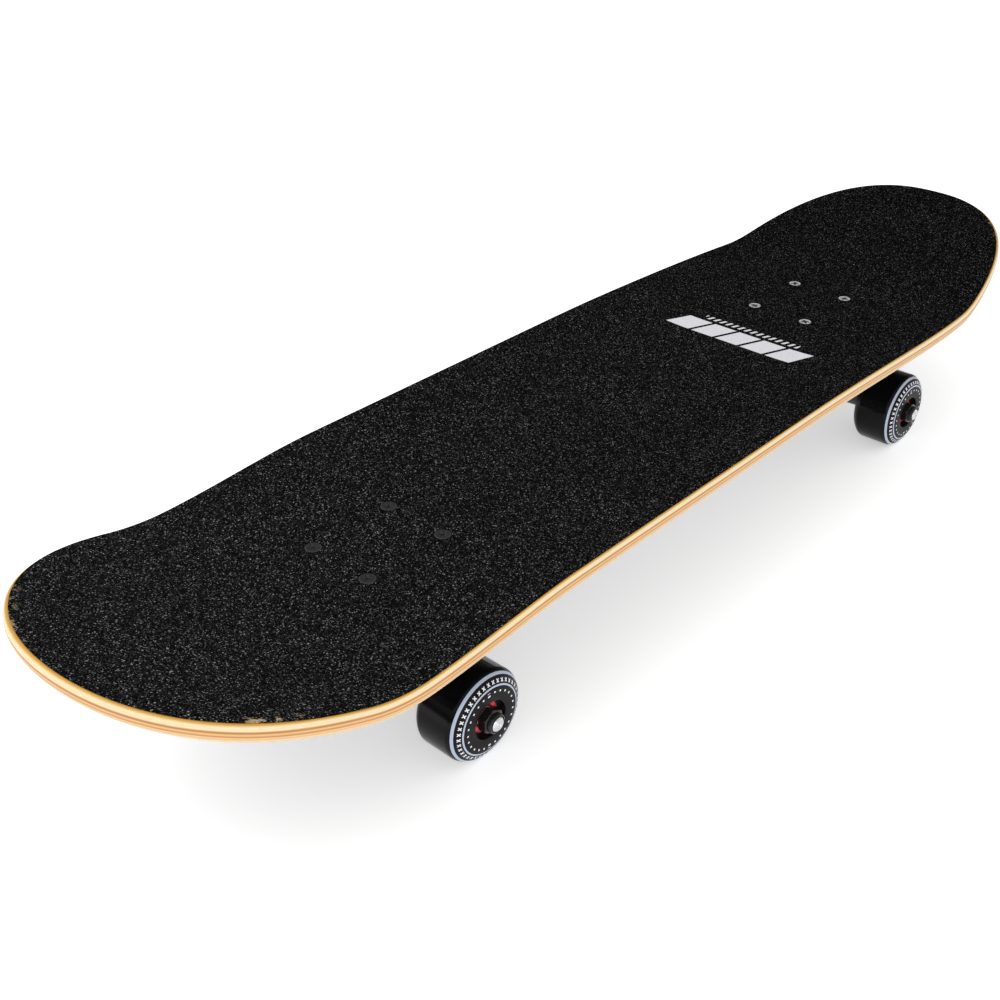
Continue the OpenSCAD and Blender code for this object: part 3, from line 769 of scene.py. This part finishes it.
def make_wheels():
    tread = urethane("wheel_urethane", (0.0022, 0.0021, 0.0024), 0.11, 0.10, 0.13)
    side_mat = urethane("wheel_side", (0.0062, 0.0050, 0.0062), 0.34, 0.1, 0.08)
    ring_ink = printed("ring_ink", lit(186, 198, 220))
    mark_ink = printed("mark_ink", lit(244, 245, 250))
    half = half_profile()
    profile = [(FLANGE_R, FLANGE_Z)] + half + [(r, -z) for r, z in reversed(half)] + [(FLANGE_R, -FLANGE_Z)]
    verts, faces = lathe(profile, WHEEL_SIDES)
    matte = [all(SIDE_BAND[0] < profile[k % len(profile)][0] < SIDE_BAND[1] for k in (row, row + 1))
             for row in range(len(profile))]
    mats = [1 if matte[i // WHEEL_SIDES] else 0 for i in range(len(faces))]
    bands, marks, dots = print_shapes()
    prints = (("rings", bands, ring_ink), ("crosses", marks, mark_ink), ("dots", dots, mark_ink))
    for end in ENDS:
        for side in SIDES:
            where = wheel_frame(end, side)
            tag = f"{end}_{side}"
            wheel = new_piece(f"tyre_{tag}", moved(verts, where), faces, [tread, side_mat], mats, 32)
            place(wheel, f"wheel_body_{tag}", "wheel_urethane", f"wheel_{tag}")
            for name, shapes, ink in prints:
                piece = new_piece(f"print_{name}_{tag}", moved(shapes[0], where), shapes[1], [ink], degrees=0)
                place(piece, f"wheel_body_{tag}", "wheel_urethane")


# ---- Trucks ----

TRUCK_OFFSET = BOLT_BASE / 2
PIVOT = (31.0, -12.0)           # centre of the pivot tip in the truck's frame, X and Z
SEAT_GAP = 40.0                 # pivot centre to ring centre, on the steering axis
STEER_ANGLE = 30.0
KINGPIN_LEAN = 22.0
AXLE_OUT = 11.7                 # axle's offset from the bolt pattern, outwards
BOARD_BUSHING = (2.5, 16.0)     # along the kingpin, from the hanger's ring
ROAD_BUSHING = (-2.5, -13.5)
BUSH_R = 12.0
BUSH_TIP_R = 9.4                # road-side bushing at the small washer
BUSH_BORE = 4.95
KINGPIN_NUT = (-15.0, 7.5, 14.3, 4.8)       # seat, height, width across flats, bore
DECK_NUT = (-5.5, 6.0, 9.5, 2.43)           # the same
AXLE_NUT = (87.1, 8.0, 12.7, 4.0)
AXLE_R = 3.97
AXLE_END = 96.0
CROSS_REACH = 2.4               # cross recess in a screw head: half length, half width and depth
CROSS_HALF = 0.72
CROSS_DEEP = 1.5


def truck_frame(end):
    """Matrix in millimetres from a truck's own frame, X towards the end of the board and the
    origin on the deck's underside, to the row frame."""
    turn = Matrix.Rotation(0 if end == "nose" else math.pi, 4, "Z")
    return Matrix.Translation((MID_X + WAY[end] * TRUCK_OFFSET, 0, UNDER_Z)) @ turn


def kingpin_frame(end):
    """Z along the kingpin, towards the board, from the middle of the hanger's ring."""
    slope = math.radians(STEER_ANGLE)
    centre = (PIVOT[0] - SEAT_GAP * math.cos(slope), 0, PIVOT[1] - SEAT_GAP * math.sin(slope))
    lean = Matrix.Rotation(math.radians(KINGPIN_LEAN), 4, "Y")
    return truck_frame(end) @ Matrix.Translation(centre) @ lean


def axle_frame(end, side=1):
    """Z along the axle, out of the board's side."""
    middle = Matrix.Translation((AXLE_OUT, 0, -TRUCK_H))
    return truck_frame(end) @ middle @ Matrix.Rotation(-side * math.pi / 2, 4, "X")


def bushing_profile(low, high, r_low, r_high):
    """Poured urethane cone or barrel with soft rims and a slight belly, bored through."""
    steps, rim, belly = 12, 0.9, 0.25
    points = [(BUSH_BORE, low), (r_low - belly - rim, low)]
    for k in range(steps + 1):
        u = k / steps
        z = low + (high - low) * (0.06 + 0.88 * u)
        points.append((r_low + (r_high - r_low) * u - belly * (2 * u - 1) ** 2, z))
    return points + [(r_high - belly - rim, high), (BUSH_BORE, high)]


def make_bushings():
    mat = urethane("bushing_urethane", (0.012, 0.012, 0.013), 0.3, 0.12)
    for end in ENDS:
        where = kingpin_frame(end)
        kinds = (("board", BOARD_BUSHING, BUSH_R), ("road", ROAD_BUSHING, BUSH_TIP_R))
        for name, (near, far), r_far in kinds:
            verts, faces = lathe(bushing_profile(near, far, BUSH_R, r_far), 72)
            piece = new_piece(f"bushing_{name}_soft_{end}", moved(verts, where), faces, [mat], degrees=40)
            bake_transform(piece)
            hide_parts(f"bushing_{name}_{end}")


def cut_crosses(obj, frames):
    """Cuts a tapered cross recess into each screw head."""
    cross = []
    for quarter in range(4):
        turn = Matrix.Rotation(quarter * math.pi / 2, 2)
        corners = ((CROSS_REACH, -CROSS_HALF), (CROSS_REACH, CROSS_HALF), (CROSS_HALF, CROSS_HALF))
        cross += [turn @ Vector(c) for c in corners]
    verts, faces = [], []
    for where in frames:
        loops = [moved([(p.x * size, p.y * size, z) for p in cross], where)
                 for z, size in ((-CROSS_DEEP, 0.7), (0.4, 1.1))]
        add_prism(verts, faces, *loops)
    cut_away(obj, verts, faces)


def copies(shape, sides, frames):
    """Vertices and faces of one shape at every frame."""
    verts, faces = [], []
    for where in frames:
        base = len(verts)
        verts += moved(shape, where)
        faces += [tuple(base + i for i in f) for f in sides]
    return verts, faces


def make_deck_bolts():
    """Countersunk screws through the deck: a flat head with a cross, with painted shade in the cross and
    along its rim.
    """
    bright = metal("bright_bolt", (0.58, 0.58, 0.58), 0.36)
    black = metal("black_bolt", (0.012, 0.012, 0.012), 0.5, metallic=0.0, Specular_IOR_Level=0.15)
    recess_shade = metal("painted_recess_shade", (0.012, 0.012, 0.012), 0.6, metallic=0.0)
    length = DECK_T + GRIP_T + BOLT_END - BOLT_SUNK
    profile = [
        (0, 0), (BOLT_HEAD_R - 0.7, 0), (BOLT_HEAD_R - 0.25, -0.15),
        (BOLT_HEAD_R, -0.45), (BOLT_HEAD_R, -0.6), (BOLT_R, -3.2),
        (BOLT_R, 0.6 - length), (BOLT_R - 0.5, -length), (0, -length),
    ]
    top = DECK_Z + GRIP_T - BOLT_SUNK
    for end, mat, slot in (("nose", bright, "bolt_bright"), ("tail", black, "bolt_black")):
        places = [(x, y, top) for x, y in bolts_at(end)]
        frames = [Matrix.Translation(at) @ Matrix.Rotation(0.8 + 0.4 * k, 4, "Z")
                  for k, at in enumerate(places)]
        verts, faces = copies(*lathe(profile, 40, closed=False), frames)
        screws = new_piece(f"deck_screws_{end}", verts, faces, [mat], degrees=30)
        cut_crosses(screws, frames)
        screws.data.materials.append(recess_shade)
        # Painted shade: faces sunk into the cross recess and in the groove round the head's rim take a
        # near-black material, standing in for the shade there
        for face in screws.data.polygons:
            x, y, z = face.center / MM
            near = min(math.hypot(x - at[0], y - at[1]) for at in places)
            in_cross = near < 1.2 * CROSS_REACH and z - top > -CROSS_DEEP - 0.1
            at_rim = near > BOLT_HEAD_R - 0.65 and z - top > -0.55
            if z - top < -0.02 and (in_cross or at_rim):
                face.material_index = 1
        place(screws, "board", slot, f"deck_bolts_{end}")


def nut_shape(height, flats, bore):
    """Lock nut: hexagon with chamfered corners, then the collar that holds its nylon ring."""
    corner = flats / math.sqrt(3)
    hexagon, collar, lip = 0.66 * height, 0.45 * flats, 0.35
    profile = [
        (bore, 0), (0.47 * flats, 0), (corner - 0.3, 0.35), (corner, 0.8), (corner, hexagon - 0.7),
        (corner - 0.35, hexagon - 0.3), (0.48 * flats, hexagon), (collar, hexagon + 0.15),
        (collar, height - 0.9), (collar - 0.25, height - 0.35), (collar - 0.8, height),
        (bore + 0.75, height - 0.1),
        (bore + 0.6, height - lip - 0.2), (bore, height - lip - 0.25),
    ]
    verts, faces = lathe(profile, 96)
    shaped = []
    for x, y, z in verts:
        r, a = math.hypot(x, y), math.atan2(y, x)
        off_flat = (a + math.pi / 6) % (math.pi / 3) - math.pi / 6
        limit = flats / 2 / math.cos(off_flat)
        keep = min(1.0, limit / r)
        shaped.append((x * keep, y * keep, z))
    return shaped, faces


def make_nuts():
    plated = metal("plated_nut", (0.60, 0.60, 0.61), 0.28)
    black = metal("black_nut", (0.02, 0.019, 0.019), 0.26, metallic=0.5)

    def joined(name, frames, size, mat):
        seats = [where @ Matrix.Translation((0, 0, size[0])) for where in frames]
        return new_piece(name, *copies(*nut_shape(*size[1:]), seats), [mat], degrees=28)

    turned_over = Matrix.Rotation(math.pi, 4, "X")
    for end in ENDS:
        bolts = [Matrix.Translation((x, y, UNDER_Z)) @ turned_over for x, y in bolts_at(end)]
        deck_nut = (-DECK_NUT[0], *DECK_NUT[1:])
        place(joined(f"lock_nuts_{end}", bolts, deck_nut, plated), "board", "nut_steel", f"deck_nuts_{end}")
        kingpin_nut = (-KINGPIN_NUT[0], *KINGPIN_NUT[1:])
        place(joined(f"kingpin_lock_nut_{end}", [kingpin_frame(end) @ turned_over], kingpin_nut, plated),
              "board", "nut_steel", f"kingpin_nut_{end}")
        sides = [axle_frame(end, side) for side in (1, -1)]
        place(joined(f"axle_lock_nuts_{end}", sides, AXLE_NUT, black),
              f"hanger_body_{end}", "nut_black", f"axle_nuts_{end}")


def make_axles():
    """Turned axle with chamfered, centre-drilled ends."""
    mat = metal("turned_steel", (0.66, 0.66, 0.67), 0.26, (1, 8, 1), 700)
    half = [
        (AXLE_R, 0), (AXLE_R, AXLE_END - 0.7), (AXLE_R - 0.55, AXLE_END - 0.1), (AXLE_R - 0.75, AXLE_END),
        (2.2, AXLE_END), (2.0, AXLE_END - 0.18), (1.6, AXLE_END - 0.18), (1.4, AXLE_END), (0.9, AXLE_END),
        (0, AXLE_END - 0.7),
    ]
    profile = half[:0:-1] + [(r, -z) for r, z in half[1:]]
    for end in ENDS:
        verts, faces = lathe(profile, 64, closed=False)
        piece = new_piece(f"axle_bar_{end}", moved(verts, axle_frame(end)), faces, [mat], degrees=30)
        place(piece, f"hanger_body_{end}", "axle_steel", f"axle_{end}")


def soften(node, width):
    """Rounds a casting's edges with modifiers over its unchanged mesh."""
    obj = NODES[node]
    loose = obj.data.attributes.get("custom_normal")
    if loose:
        obj.data.attributes.remove(loose)
    for face in obj.data.polygons:
        face.use_smooth = True
    weld = obj.modifiers.new("weld", "WELD")
    weld.merge_threshold = 1e-5
    bevel = obj.modifiers.new("rounded", "BEVEL")
    bevel.width = width * MM
    bevel.segments = 3
    bevel.limit_method = "ANGLE"
    bevel.angle_limit = math.radians(38)
    split = obj.modifiers.new("crisp", "EDGE_SPLIT")
    split.split_angle = math.radians(42)


# ---- Materials of the CAD nodes that stay ----

def dress(node, mat):
    materials = NODES[node].data.materials
    materials.clear()
    materials.append(mat)


def dress_nodes():
    steel = metal("bearing_steel", (0.62, 0.62, 0.64), 0.2)
    plated = metal("plated_steel", (0.60, 0.60, 0.61), 0.28)
    paint = cast_paint()
    by_slot = {
        "truck_cast": paint,
        "cup_urethane": urethane("cup_urethane", (0.02, 0.02, 0.021), 0.4, 0.1),
        "kingpin_steel": plated, "washer_steel": plated, "axle_steel": plated,
        "bearing_steel": steel,
        "shield_red": urethane("shield_red", (0.62, 0.012, 0.022), 0.22, 0.08),
        "cage_nylon": urethane("cage_nylon", (0.32, 0.22, 0.09), 0.45, 0.1),
    }
    for part in frame["record"]["subparts"]:
        node, slot = part["node"], part["material_slot"]
        if slot in by_slot:
            dress(node, by_slot[slot])
    # Painted shade: the bearings' outer rings, deep in the wheels' recesses, get a near-black steel in place
    # of bright bearing steel, standing in for the shade in the recess
    painted_shade_ring = metal("painted_shade_ring", (0.045, 0.045, 0.047), 0.3)
    for end in ENDS:
        for side in SIDES:
            dress(f"outer_rings_{end}_{side}", painted_shade_ring)
        soften(f"hanger_{end}", 0.8)
        soften(f"baseplate_{end}", 0.5)


make_camera()
make_studio()
make_deck()
make_grip()
make_wheels()
make_bushings()
make_deck_bolts()
make_nuts()
make_axles()
dress_nodes()
